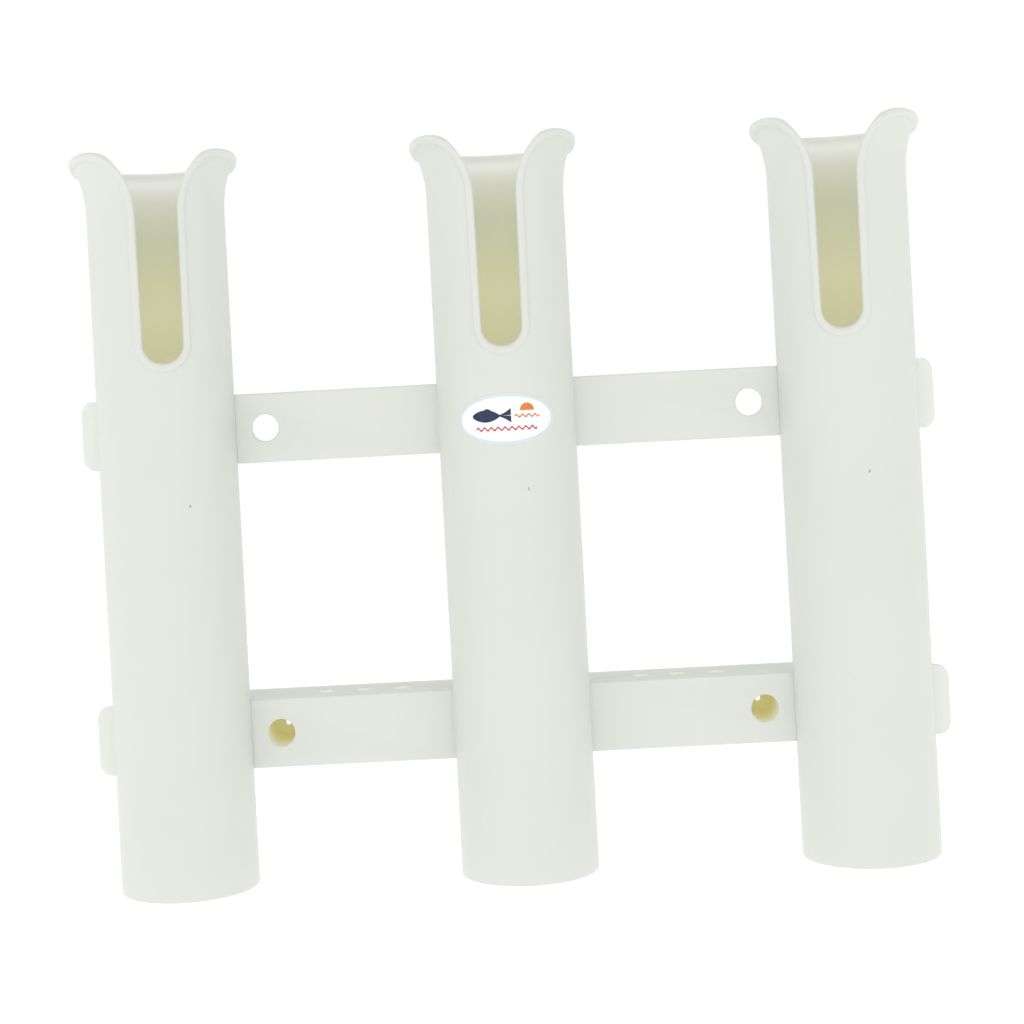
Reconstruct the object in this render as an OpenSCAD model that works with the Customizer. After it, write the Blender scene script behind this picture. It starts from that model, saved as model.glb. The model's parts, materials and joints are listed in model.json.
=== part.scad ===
// Rod holder: three slotted tubes held side by side by two moulded rails.
// Millimetres. The front is -Y and up is +Z. The origin is the middle of the four
// mounting holes, in the plane of the rails' front faces.

/* [Tubes] */
// Outer diameter of a tube
tube_d = 50; // [48:0.5:52]
// Wall thickness of a tube
tube_wall = 3.5; // [3:0.1:4]
// Height from the foot of a tube to the top of its mouth
tube_h = 268; // [255:1:300]
// Distance between the axes of neighbouring tubes
tube_pitch = 124.5; // [120:0.5:140]
// How far the tube axes lie in front of the rails' front faces
tube_forward = 2; // [1:0.5:3]
// Thickness of the floor that stops the rod butt
floor_t = 3; // [2:0.5:5]
// Diameter of the drain hole in the middle of the floor
drain_d = 12; // [6:1:16]

/* [Mouth] */
// Width of the reel slot in the front of a tube
slot_w = 14.5; // [11:0.5:16]
// Depth of the reel slot below the top of the mouth
slot_depth = 76.5; // [60:0.5:90]
// Height over which the slot opens out towards the mouth
horn_h = 23; // [20:1:28]
// Distance of each horn's tip from the tube axis
horn_x = 25; // [22:0.5:25]
// How far the back of the rim dips below the horns
rim_dip = 3.5; // [1:0.5:5]
// Angle by which the two outer tubes' mouths are turned towards the middle tube
toe_in = 10; // [0:1:15]
// Width of the raised bead around the slot
bead_w = 3; // [2:0.25:4]
// Height of the bead above the tube
bead_t = 0.8; // [0.5:0.1:1.2]

/* [Rails] */
// Height of a rail
rail_h = 25.4; // [24:0.2:30]
// Depth of a rail from its front face to the mounting surface
rail_depth = 26; // [26:0.5:30]
// Overall length of a rail, end tabs included
rail_len = 312.2; // [310:0.2:320]
// Thickness of a rail's front plate and end tabs
plate_t = 3; // [2.5:0.1:3.5]
// Thickness of a rail's flanges, end walls and saddles
flange_t = 2.6; // [2.2:0.1:3]
// Thickness of the ribs inside a rail
rib_t = 2; // [1.5:0.1:2.4]
// Height of the lower rail's middle above the foot of the tubes
lower_rail_at = 54.3; // [40:0.1:70]
// Height of the upper rail's middle above the foot of the tubes
upper_rail_at = 166.5; // [150:0.1:172]
// Corner radius of the end tabs
tab_r = 4; // [1:0.5:6]

/* [Holes] */
// Diameter of a mounting hole
mount_d = 10; // [6:0.5:11]
// Diameter of the hole in the seat at the back of each lower mounting hole
seat_hole_d = 2; // [1.6:0.2:6]
// Distance of the mounting holes from the middle of the rail
mount_x = 88.8; // [84:0.1:89]
// Diameter of a hook hole in the lower rail's shelf
hook_d = 7; // [4.5:0.5:8]
// Distance between neighbouring hook holes
hook_pitch = 13.7; // [12:0.1:14]
// Distance of the middle hook hole of a bay from the middle of the rail
hook_x = 58.7; // [57:0.1:60]

/* [Label] */
// Width of the oval label, seen from the front
label_w = 33.4; // [20:0.2:36]
// Height of the oval label
label_h = 18.4; // [10:0.2:20]
// Height of the label's middle above the foot of the tubes
label_at = 165.5; // [160:0.5:170]

/* [Hidden] */
$fn = 96;

plastic_white = [0.93, 0.94, 0.90];
steel_grey = [0.72, 0.73, 0.75];
label_white = [0.97, 0.98, 0.98];

tube_r = tube_d / 2;
bore_r = tube_r - tube_wall;
axis_y = -tube_forward;
foot_z = -(lower_rail_at + upper_rail_at) / 2;
top_z = foot_z + tube_h;
upper_z = foot_z + upper_rail_at;
lower_z = foot_z + lower_rail_at;

foot_chamfer = 0.6;
small_drain_d = 5;                 // four drain holes around the middle one
small_drain_at = 13.5;
gate_x = 6.6;                      // mark left by the injection gate
gate_at = 140.4;
gate_d = 1.2;
gate_depth = 0.4;
label_gap = 0.03;                  // adhesive between the label and the tube
label_t = 0.25;

// Lip of the mouth: the wall sweeps outwards, then ends in a rolled edge whose section
// is two circles joined by their tangent.
sweep_h = 21;                      // height over which the wall sweeps out
sweep_r = 42;                      // radius of that sweep on the outside
sweep_end = 17.5;                  // degrees
crest = [0.6, -2.8];               // crest circle's centre, from the tube's outer wall and the top
crest_r = 2.8;
lip = [3.5, -5.2];                 // outer edge circle's centre, the same way
lip_r = 1.8;
lip_start = -110;                  // where the edge circle meets the swept wall, degrees
join_angle = 66;                   // where the tangent leaves both circles
lip_back = 0.3;                    // how far the lip stands out at the back

// Lugs on the back of each tube, and the screws that hold them in the rails
fit_gap = 0.2;                     // between a tube and its saddle
lug_x = 19;
lug_r = 4.7;
lug_end_y = rail_depth - 6.3;
post_r = 7;
post_web = 3.4;                    // plastic that a screw clamps
head_recess = 2.8;
head_r = 3.4;
head_h = 2.3;
head_round = 1.2;
screw_r = 1.75;
screw_len = 10;
screw_tip = 1;
screw_tip_r = 0.6;
pilot_r = 1.8;
pilot_spare = 0.3;                 // depth of a pilot hole past the screw's tip
screw_hole_r = 2;
recess_r = 3.9;
cross_w = 0.9;
cross_len = 3.6;
cross_depth = 1.2;

boss_r = mount_d / 2 + 3;
mount_seat_t = 2.4;                // web at the back of a boss, under the mounting screw's head
hook_y = 13.5;
box_half = tube_pitch + tube_r + 2; // half the length of a rail's hollow box, tabs left out
upper_rib_inset = 9;               // from a mounting hole to the first rib beside it
upper_rib_pitch = 17.4;
eps = 0.01;
past = 5;                          // how far a cutter runs past what it cuts

function arc(c, r, a0, a1, n) =
    [for (i = [0:n]) let (a = a0 + (a1 - a0) * i / n) c + r * [cos(a), sin(a)]];

// Shapes drawn in X and Z and given a thickness along Y, from y0 back to y1
module plate_y(y0, y1) {
    translate([0, y1, 0]) rotate([90, 0, 0]) linear_extrude(y1 - y0) children();
}

module rod_y(x, z, r, y0, y1) {
    translate([x, y1, z]) rotate([90, 0, 0]) cylinder(r = r, h = y1 - y0);
}

// Outside of a tube as a solid of revolution on the Z axis, foot at z = 0.
// grow thickens the straight wall and the sweep, but not the lip.
module tube_form(grow = 0) {
    wall = tube_r + grow;
    sweep_c = [tube_r + sweep_r, tube_h - sweep_h];
    crest_c = [tube_r, tube_h] + crest;
    lip_c = [tube_r, tube_h] + lip;
    rotate_extrude()
        polygon(concat(
            [[0, 0], [wall - foot_chamfer, 0], [wall, foot_chamfer]],
            arc(sweep_c, sweep_r - grow, 180, 180 - sweep_end, 6),
            arc(lip_c, lip_r, lip_start, join_angle, 8),
            arc(crest_c, crest_r, join_angle, 180, 8),
            [[0, tube_h + crest[1]]]));
}

// The bore opens out a little towards the mouth, so that the wall keeps its thickness
module bore_form() {
    mouth_r = tube_r + crest[0] - crest_r;
    inner_sweep_r = sweep_r + tube_wall;
    inner_end = acos(1 - (mouth_r - bore_r) / inner_sweep_r);
    translate([0, 0, floor_t]) cylinder(r = bore_r, h = tube_h);
    rotate_extrude()
        polygon(concat(
            [[0, tube_h - sweep_h]],
            arc([bore_r + inner_sweep_r, tube_h - sweep_h], inner_sweep_r, 180, 180 - inner_end, 5),
            [[mouth_r, tube_h + past], [0, tube_h + past]]));
}

// Reel slot seen from the front: a round-ended slot whose sides open out in a
// quarter ellipse to each horn. margin widens it all round, for the bead.
module slot_outline(margin = 0) {
    half = slot_w / 2 + margin;
    start_z = tube_h - horn_h;
    flare = [for (i = [0:10]) let (a = i * 9)
        [horn_x - (horn_x - slot_w / 2 - margin) * cos(a), start_z + (horn_h - margin) * sin(a)]];
    translate([0, tube_h - slot_depth + slot_w / 2]) circle(r = half);
    polygon(concat(
        [[half, tube_h - slot_depth + slot_w / 2]], flare, [[horn_x, tube_h + past]],
        [[-horn_x, tube_h + past]],
        [for (i = [10:-1:0]) [-flare[i][0], flare[i][1]]],
        [[-half, tube_h - slot_depth + slot_w / 2]]));
}

module bead() {
    intersection() {
        tube_form(bead_t);
        difference() {
            plate_y(-2 * tube_r, -tube_r / 3) slot_outline(bead_w);
            translate([0, 0, tube_h - lip_r - past / 2]) cylinder(r = 2 * tube_r, h = 2 * past);
        }
    }
}

// The rim dips towards the back
module rim_dip_cut() {
    slope = atan(rim_dip / tube_r);
    translate([-2 * tube_r, 0, tube_h]) rotate([-slope, 0, 0]) cube([4 * tube_r, 3 * tube_r, 4 * past]);
}

// The lip is cut off flat at the back, clear of the surface that the rails are mounted on
module lip_cut() {
    translate([-2 * tube_r, tube_r + lip_back, tube_h / 2]) cube([4 * tube_r, tube_r, tube_h]);
}

module lugs() {
    for (rail_at = [lower_rail_at, upper_rail_at], side = [-1, 1])
        rod_y(side * lug_x, rail_at, lug_r, 0, lug_end_y - axis_y);
}

module lug_pilots() {
    tip_y = rail_depth - head_recess - screw_len - pilot_spare - axis_y;
    for (rail_at = [lower_rail_at, upper_rail_at], side = [-1, 1])
        rod_y(side * lug_x, rail_at, pilot_r, tip_y, lug_end_y - axis_y + eps);
}

module drains() {
    translate([0, 0, -eps]) cylinder(d = drain_d, h = floor_t + 2 * eps);
    for (a = [45:90:315])
        rotate(a) translate([small_drain_at, 0, -eps]) cylinder(d = small_drain_d, h = floor_t + 2 * eps);
}

module gate_mark() {
    rod_y(gate_x, gate_at, gate_d / 2, -2 * tube_r, gate_depth - sqrt(tube_r * tube_r - gate_x * gate_x));
}

// Wall, mouth and floor turn together; the lugs and what meets the wall behind do not
module tube(x) {
    turn = -sign(x) * toe_in;
    color(plastic_white)
        translate([x, axis_y, foot_z])
            rotate(turn)
                difference() {
                    union() {
                        tube_form();
                        bead();
                        rotate(-turn) lugs();
                    }
                    bore_form();
                    drains();
                    plate_y(-2 * tube_r, 0) slot_outline();
                    rim_dip_cut();
                    gate_mark();
                    rotate(-turn) {
                        lug_pilots();
                        lip_cut();
                    }
                }
}

module rounded_bar(length, height, r) {
    square([length - 2 * r, height], center = true);
    square([length, height - 2 * r], center = true);
    for (x = [-1, 1], z = [-1, 1])
        translate([x * (length / 2 - r), z * (height / 2 - r)]) circle(r = r);
}

// Channel that is open at the back: front plate with end tabs, two flanges, end walls,
// ribs, a saddle round the back of each tube and a screw post behind each lug.
module rail_body(rib_at) {
    plate_y(0, plate_t) rounded_bar(rail_len, rail_h, tab_r);
    for (side = [-1, 1])
        plate_y(eps, rail_depth)
            translate([0, side * (rail_h - flange_t) / 2]) square([2 * box_half, flange_t], center = true);
    for (side = [-1, 1], x = rib_at)
        translate([side * x - rib_t / 2, eps, -rail_h / 2]) cube([rib_t, rail_depth - eps, rail_h]);
    for (side = [-1, 1])
        translate([side * (box_half - flange_t / 2) - flange_t / 2, eps, -rail_h / 2])
            cube([flange_t, rail_depth - eps, rail_h]);
    for (i = [-1:1])
        intersection() {
            translate([i * tube_pitch, axis_y, -rail_h / 2])
                cylinder(r = tube_r + fit_gap + flange_t, h = rail_h);
            translate([-rail_len / 2, eps, -rail_h / 2]) cube([rail_len, rail_depth - 2 * eps, rail_h]);
        }
    for (i = [-1:1], side = [-1, 1])
        rod_y(i * tube_pitch + side * lug_x, 0, post_r, rail_depth / 2, rail_depth);
}

module rail_cuts() {
    seat_y = rail_depth - head_recess;
    for (i = [-1:1]) {
        translate([i * tube_pitch, axis_y, -rail_h]) cylinder(r = tube_r + fit_gap, h = 2 * rail_h);
        for (side = [-1, 1]) {
            x = i * tube_pitch + side * lug_x;
            rod_y(x, 0, lug_r + fit_gap, -eps, seat_y - post_web);
            rod_y(x, 0, screw_hole_r, 0, rail_depth);
            rod_y(x, 0, recess_r, seat_y, rail_depth + past);
        }
    }
}

module rail(z, rib_at, mount_boss, hook_at) {
    color(plastic_white)
        translate([0, 0, z])
            difference() {
                union() {
                    rail_body(rib_at);
                    if (mount_boss)
                        for (side = [-1, 1]) rod_y(side * mount_x, 0, boss_r, eps, rail_depth);
                }
                rail_cuts();
                for (side = [-1, 1]) {
                    bore_end = mount_boss ? rail_depth - mount_seat_t : rail_depth + past;
                    rod_y(side * mount_x, 0, mount_d / 2, -past, bore_end);
                    if (mount_boss) rod_y(side * mount_x, 0, seat_hole_d / 2, 0, rail_depth + past);
                    for (x = hook_at)
                        translate([side * x, hook_y, rail_h / 2 - flange_t - eps])
                            cylinder(d = hook_d, h = flange_t + past);
                }
            }
}

module upper_rail() {
    rail(upper_z, rib_at = [for (i = [0:2]) mount_x - upper_rib_inset - i * upper_rib_pitch],
         mount_boss = false, hook_at = []);
}

module lower_rail() {
    rail(lower_z, rib_at = [for (i = [-1.5:1:1.5]) hook_x + i * hook_pitch], mount_boss = true,
         hook_at = [for (i = [-1:1]) hook_x + i * hook_pitch]);
}

// Pan head self-tapping screw with a cross recess, driven forwards from the back
module screw(x, z) {
    translate([x, rail_depth - head_recess, z]) rotate([-90, 0, 0])
        difference() {
            union() {
                rotate_extrude()
                    polygon(concat([[0, 0], [head_r, 0]],
                        arc([head_r - head_round, head_h - head_round], head_round, 0, 90, 5), [[0, head_h]]));
                translate([0, 0, screw_tip - screw_len]) cylinder(r = screw_r, h = screw_len - screw_tip + eps);
                translate([0, 0, -screw_len])
                    rotate_extrude() polygon([[0, 0], [screw_tip_r, 0], [screw_r, screw_tip], [0, screw_tip]]);
            }
            for (a = [0, 90])
                rotate(a) translate([-cross_len / 2, -cross_w / 2, head_h - cross_depth])
                    cube([cross_len, cross_w, past]);
        }
}

module screw_pair(i, z) {
    color(steel_grey)
        for (side = [-1, 1]) screw(i * tube_pitch + side * lug_x, z);
}

module label() {
    inner_r = tube_r + label_gap;
    color(label_white)
        translate([0, axis_y, foot_z + label_at])
            intersection() {
                translate([0, 0, -label_h])
                    difference() {
                        cylinder(r = inner_r + label_t, h = 2 * label_h);
                        translate([0, 0, -eps]) cylinder(r = inner_r, h = 2 * label_h + 2 * eps);
                    }
                plate_y(-2 * tube_r, 0)
                    polygon([for (a = [0:7.5:352.5]) [label_w / 2 * cos(a), label_h / 2 * sin(a)]]);
            }
}

tube(-tube_pitch);  // left_tube
tube(0);  // middle_tube
tube(tube_pitch);  // right_tube
upper_rail();
lower_rail();
screw_pair(-1, upper_z);  // left_upper_screws
screw_pair(0, upper_z);  // middle_upper_screws
screw_pair(1, upper_z);  // right_upper_screws
screw_pair(-1, lower_z);  // left_lower_screws
screw_pair(0, lower_z);  // middle_lower_screws
screw_pair(1, lower_z);  // right_lower_screws
label();
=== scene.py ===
import json
import math

import bmesh
import bpy
import numpy as np
from mathutils import Matrix, Vector


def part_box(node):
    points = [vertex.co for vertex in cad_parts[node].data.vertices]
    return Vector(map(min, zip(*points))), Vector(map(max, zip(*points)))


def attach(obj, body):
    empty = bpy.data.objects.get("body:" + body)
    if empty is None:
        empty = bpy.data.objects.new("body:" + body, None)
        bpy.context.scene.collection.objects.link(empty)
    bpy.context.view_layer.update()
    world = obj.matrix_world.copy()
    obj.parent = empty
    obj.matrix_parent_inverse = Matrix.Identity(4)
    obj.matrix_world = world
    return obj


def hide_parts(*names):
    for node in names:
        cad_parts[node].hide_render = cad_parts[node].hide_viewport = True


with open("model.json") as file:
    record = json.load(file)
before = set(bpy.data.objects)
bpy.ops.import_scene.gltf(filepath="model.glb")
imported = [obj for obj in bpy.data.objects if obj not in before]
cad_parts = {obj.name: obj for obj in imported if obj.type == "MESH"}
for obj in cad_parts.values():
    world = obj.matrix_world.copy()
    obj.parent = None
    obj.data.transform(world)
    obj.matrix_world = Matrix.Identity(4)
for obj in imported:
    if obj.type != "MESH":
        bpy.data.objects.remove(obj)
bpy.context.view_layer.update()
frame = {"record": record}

MM = 0.001
mounts = {m["name"]: m for m in frame["record"]["mounts"]}
holes = mounts["mounting_holes"]["dims"]

# Places and sizes of the CAD model, in millimetres
TUBES = {
    side: mounts[side + "_tube_bore"]["pos_m"][0] / MM for side in ("left", "middle", "right")
}
AXIS_Y = mounts["middle_tube_bore"]["pos_m"][1] / MM
BORE_R = mounts["middle_tube_bore"]["dims"]["r_mm"]
FOOT_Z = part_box("middle_tube")[0][2] / MM
TUBE_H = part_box("middle_tube")[1][2] / MM - FOOT_Z
FRONT_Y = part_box("upper_rail")[0][1] / MM
BACK_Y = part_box("upper_rail")[1][1] / MM
RAIL_Z = {
    name: (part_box(name)[0][2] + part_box(name)[1][2]) / 2 / MM for name in ("upper_rail", "lower_rail")
}

WALL = 3.5
TUBE_R = BORE_R + WALL
FLOOR_T = 3.0
DRAIN_R = 6.0
SMALL_DRAIN_R = 2.5
SMALL_DRAIN_AT = 13.5
FOOT_ROUND = 0.9             # rounding of the foot's edge
HEEL_R = 1.6                 # fillet between the bore and the floor
SLOT_DEPTH = 76.5
SLOT_HALF_TOP = 7.4          # the slot narrows a little towards its closed end
SLOT_HALF_END = 7.05
HORN_H = 23.0
HORN_X = 25.0
RIM_DIP = 3.9                # how far the back of the rim lies below the horns
FLARE_END = math.radians(112)    # angle from the front where the flare starts to die out
SWEEP_H = 21.0               # height over which the mouth sweeps outwards
SWEEP_R = 42.0
TOE_IN = 10.0
LUG_X = 19.0                 # two lugs on a tube's back at each rail, either side of its axis
LUG_R = 4.7
LUG_INSET = 6.3              # from the lugs' ends to the mounting surface


# ------------------------------------------------------------------ helpers

def smooth_step(t):
    """0 to 1 with level ends."""
    t = np.clip(t, 0.0, 1.0)
    return t * t * (3.0 - 2.0 * t)


def link(name, mesh):
    """Puts a mesh into the scene as an object."""
    obj = bpy.data.objects.new(name, mesh)
    bpy.context.scene.collection.objects.link(obj)
    return obj


# ------------------------------------------------------------------ tubes

def mouth_turn(x):
    """The outer tubes' mouths are turned towards the middle one."""
    return -np.sign(round(x)) * math.radians(TOE_IN)


def back_fade(a):
    """1 at the front and sides of a tube, 0 at its back, where the flare dies out."""
    return 1.0 - smooth_step((a - FLARE_END) / math.radians(46))


def sweep(z, radius):
    """How far the mouth's wall has swept outwards at height z."""
    t = np.clip(z - (TUBE_H - SWEEP_H), 0.0, 0.9 * radius)
    return radius - np.sqrt(radius * radius - t * t)


def outer_r(a, z):
    return TUBE_R + sweep(z, SWEEP_R) * back_fade(np.abs(a))


def inner_r(a, z):
    return BORE_R + sweep(z, SWEEP_R + WALL) * back_fade(np.abs(a))


def edge_outline():
    """Half of the wall's upper edge, from the back of the tube round the horn and down to
    the end of the slot: rows of (angle from the front, height, kind), where kind is 1 on
    the rim, whose section is radial, and 0 on the slot, whose sides run front to back."""
    horn_a = math.asin(HORN_X / float(outer_r(1.0, TUBE_H)))
    rows = []
    for a in np.linspace(math.pi, FLARE_END, 18)[:-1]:
        rows.append((a, TUBE_H - RIM_DIP, 1.0))
    for a in np.linspace(FLARE_END, horn_a, 24)[:-1]:
        rows.append((a, TUBE_H - RIM_DIP * smooth_step((a - horn_a) / (FLARE_END - horn_a)), 1.0))
    end_z = TUBE_H - SLOT_DEPTH + SLOT_HALF_END
    for t in np.linspace(90, 0, 31)[:-1]:
        x = HORN_X - (HORN_X - SLOT_HALF_TOP) * math.cos(math.radians(t))
        z = TUBE_H - HORN_H + HORN_H * math.sin(math.radians(t))
        kind = float(smooth_step((x - 11.0) / 9.0))
        rows.append((math.asin(x / float(outer_r(0.6, z))), z, kind))
    for t in np.linspace(0, 1, 19)[:-1]:
        x = SLOT_HALF_TOP + (SLOT_HALF_END - SLOT_HALF_TOP) * t
        z = (TUBE_H - HORN_H) * (1 - t) + end_z * t
        rows.append((math.asin(x / TUBE_R), z, 0.0))
    for t in np.linspace(0, 90, 15):
        x = SLOT_HALF_END * math.cos(math.radians(t))
        z = end_z - SLOT_HALF_END * math.sin(math.radians(t))
        rows.append((math.asin(x / TUBE_R), z, 0.0))
    return np.array(rows)


# Section across the wall's edge, from the outside over the edge to the inside:
# distance below the edge, depth from the outer surface into the wall, and how much of
# the bead's height to add.
EDGE_SECTION = [
    (4.4, 0.0, 0.0), (3.35, 0.0, 0.0), (3.15, 0.0, 0.08), (3.02, 0.0, 0.45), (2.88, 0.0, 0.85),
    (2.65, 0.0, 1.0), (1.6, 0.0, 1.0), (1.0, 0.0, 0.85), (0.5, 0.0, 0.5), (0.18, 0.25, 0.1),
    (0.04, 0.8, 0.0), (0.0, 1.4, 0.0), (0.0, 2.0, 0.0), (0.08, 2.6, 0.0), (0.3, 3.1, 0.0),
    (0.65, 3.38, 0.0), (1.15, 3.5, 0.0), (2.2, 3.5, 0.0), (4.4, 3.5, 0.0),
]


def tube_grid():
    """Rows of points over one half of a tube's wall, from the inside of the floor up the
    bore, over the edge and down the outside to the foot."""
    outline = edge_outline()
    a, z, kind = outline.T
    s = a * TUBE_R
    ds, dz = np.gradient(s), np.gradient(z)
    length = np.hypot(ds, dz)
    away_s, away_z = dz / length, -ds / length
    away_s[0], away_z[0] = 0.0, 1.0
    away_s[-1], away_z[-1] = 0.0, 1.0

    bead = 0.95 + 0.55 * smooth_step((a - math.radians(20)) / math.radians(50))
    bead = 0.3 + (bead - 0.3) * back_fade(a)

    def wall_point(below, depth, lift):
        ang = a - below * away_s / TUBE_R
        ht = z - below * away_z
        ro, ri = outer_r(ang, ht), inner_r(ang, ht)
        straight = np.arcsin(np.clip(ro * np.sin(ang) / ri, -0.98, 0.98))
        ang_in = kind * ang + (1 - kind) * np.where(kind < 1, straight, ang)
        out = np.stack([ro * np.sin(ang), -ro * np.cos(ang), ht], 1)
        inn = np.stack([ri * np.sin(ang_in), -ri * np.cos(ang_in), ht], 1)
        t = (depth - lift * bead) / WALL
        return out + (inn - out) * t[:, None], ang, ang_in, ht

    foot_a = np.empty(len(a))
    on_rim = a >= a[40]
    foot_a[on_rim] = a[on_rim]
    rest = np.flatnonzero(~on_rim)
    foot_a[rest] = np.linspace(a[40], 0, len(rest) + 1)[1:]

    band = [wall_point(*p)[0] for p in EDGE_SECTION]
    _, ang_o, _, ht_o = wall_point(*EDGE_SECTION[0])
    _, _, ang_i, ht_i = wall_point(*EDGE_SECTION[-1])

    def side(ang_top, ht_top, low, radius, n):
        rows = []
        for j in range(1, n + 1):
            v = (j / n) ** 1.5
            ang = ang_top + (foot_a - ang_top) * smooth_step(v)
            ht = ht_top + (low - ht_top) * v
            r = radius(ang, ht)
            rows.append(np.stack([r * np.sin(ang), -r * np.cos(ang), ht], 1))
        return rows

    def ring(r, ht):
        return np.stack([r * np.sin(foot_a), -r * np.cos(foot_a), np.full(len(a), ht)], 1)

    outside = side(ang_o, ht_o, FOOT_ROUND, outer_r, 34)
    inside = side(ang_i, ht_i, FLOOR_T + HEEL_R, inner_r, 26)
    turns = [(1 - math.cos(t), 1 - math.sin(t)) for t in np.radians([30, 60, 90])]
    foot = [ring(TUBE_R - 0.8 * across, FOOT_ROUND * down) for across, down in turns]
    heel = [ring(BORE_R - HEEL_R * across, FLOOR_T + HEEL_R * down) for across, down in turns]
    return heel[::-1] + inside[::-1] + band[::-1] + outside + foot


def disc_with_holes(bm, rim, z, circles):
    """Fills a ring of vertices with a flat face that has round holes. Returns the holes' loops."""
    edges = []
    for i in range(len(rim)):
        pair = (rim[i], rim[i - 1])
        edges.append(bm.edges.get(pair) or bm.edges.new(pair))
    loops = []
    for cx, cy, r, n in circles:
        angles = [2 * math.pi * k / n for k in range(n)]
        points = [Vector((cx + r * math.cos(t), cy + r * math.sin(t), z)) * MM for t in angles]
        loop = [bm.verts.new(p) for p in points]
        edges += [bm.edges.new((loop[i], loop[i - 1])) for i in range(n)]
        loops.append(loop)
    bmesh.ops.triangle_fill(bm, use_beauty=True, use_dissolve=False, edges=edges)
    return loops


def add_rod(bm, x, z, r, y_near, y_far, n=28):
    """A closed round lug along Y whose near end follows y_near(x)."""
    near, far = [], []
    for k in range(n):
        t = 2 * math.pi * k / n
        px, pz = x + r * math.cos(t), z + r * math.sin(t)
        near.append(bm.verts.new((px * MM, y_near(px) * MM, pz * MM)))
        far.append(bm.verts.new((px * MM, y_far * MM, pz * MM)))
    for k in range(n):
        bm.faces.new((near[k], near[k - 1], far[k - 1], far[k]))
    bm.faces.new(far)
    mid = bm.verts.new((x * MM, y_near(x) * MM, z * MM))
    for k in range(n):
        bm.faces.new((mid, near[k - 1], near[k]))


def make_tube(name, x):
    """One tube: wall, beaded mouth and slot, floor with drain holes, and the lugs behind."""
    bm = bmesh.new()
    rows = []
    for half in tube_grid():
        mirrored = half[-2:0:-1] * np.array([-1, 1, 1])
        rows.append([bm.verts.new(Vector(p) * MM) for p in np.concatenate([half, mirrored])])
    n = len(rows[0])
    for lower, upper in zip(rows, rows[1:]):
        for k in range(n):
            bm.faces.new((lower[k - 1], lower[k], upper[k], upper[k - 1]))
    drains = [(0.0, 0.0, DRAIN_R, 40)]
    for k in range(4):
        t = math.radians(45 + 90 * k)
        drains.append((SMALL_DRAIN_AT * math.cos(t), SMALL_DRAIN_AT * math.sin(t), SMALL_DRAIN_R, 20))
    top = disc_with_holes(bm, rows[0], FLOOR_T, drains)
    bottom = disc_with_holes(bm, rows[-1], 0.0, drains)
    for up, low in zip(top, bottom):
        for k in range(len(up)):
            bm.faces.new((up[k - 1], up[k], low[k], low[k - 1]))
    turn = Matrix.Rotation(mouth_turn(x), 3, "Z")
    bmesh.ops.rotate(bm, cent=(0, 0, 0), matrix=turn, verts=bm.verts[:])
    mid_wall = TUBE_R - WALL / 2
    for rail_z in RAIL_Z.values():
        for side in (-1, 1):
            add_rod(bm, side * LUG_X, rail_z - FOOT_Z, LUG_R,
                    lambda px: math.sqrt(max(0.0, mid_wall ** 2 - px * px)), BACK_Y - LUG_INSET - AXIS_Y)
    bmesh.ops.recalc_face_normals(bm, faces=bm.faces[:])
    bmesh.ops.translate(bm, vec=Vector((x, AXIS_Y, FOOT_Z)) * MM, verts=bm.verts[:])
    mesh = bpy.data.meshes.new(name)
    bm.to_mesh(mesh)
    bm.free()
    mesh.shade_smooth()
    mesh.set_sharp_from_angle(angle=math.radians(50))
    return link(name, mesh)


# ------------------------------------------------------------------ closed solids

def mesh_from(bm, name):
    """A mesh in metres from a bmesh drawn in millimetres."""
    bmesh.ops.recalc_face_normals(bm, faces=bm.faces[:])
    bmesh.ops.scale(bm, vec=(MM, MM, MM), verts=bm.verts[:])
    mesh = bpy.data.meshes.new(name)
    bm.to_mesh(mesh)
    bm.free()
    return mesh


def prism(points, low, high, along, bevel=0.0):
    """A closed solid from a flat outline. along is "y" for an outline in X and Z, "z" for
    one in X and Y, and "x" for one in Y and Z. bevel rounds the edges of both ends."""
    order = {"x": (2, 0, 1), "y": (0, 2, 1), "z": (0, 1, 2)}[along]
    bm = bmesh.new()
    near = [bm.verts.new([(p, q, low)[k] for k in order]) for p, q in points]
    far = [bm.verts.new([(p, q, high)[k] for k in order]) for p, q in points]
    ends = [bm.faces.new(near), bm.faces.new(far)]
    for k in range(len(points)):
        bm.faces.new((near[k - 1], near[k], far[k], far[k - 1]))
    if bevel:
        rim = {e for f in ends for e in f.edges}
        bmesh.ops.bevel(bm, geom=list(rim), offset=bevel, segments=3, profile=0.5, affect="EDGES")
    return mesh_from(bm, "solid")


def arc(cx, cy, r, start, end, n):
    """Points on an arc, from start to end degrees."""
    return [(cx + r * math.cos(math.radians(start + (end - start) * k / n)),
             cy + r * math.sin(math.radians(start + (end - start) * k / n))) for k in range(n + 1)]


def rounded(x0, x1, y0, y1, r, n=6):
    """Outline of a rectangle with rounded corners."""
    return (arc(x1 - r, y0 + r, r, -90, 0, n) + arc(x1 - r, y1 - r, r, 0, 90, n)
            + arc(x0 + r, y1 - r, r, 90, 180, n) + arc(x0 + r, y0 + r, r, 180, 270, n))


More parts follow.
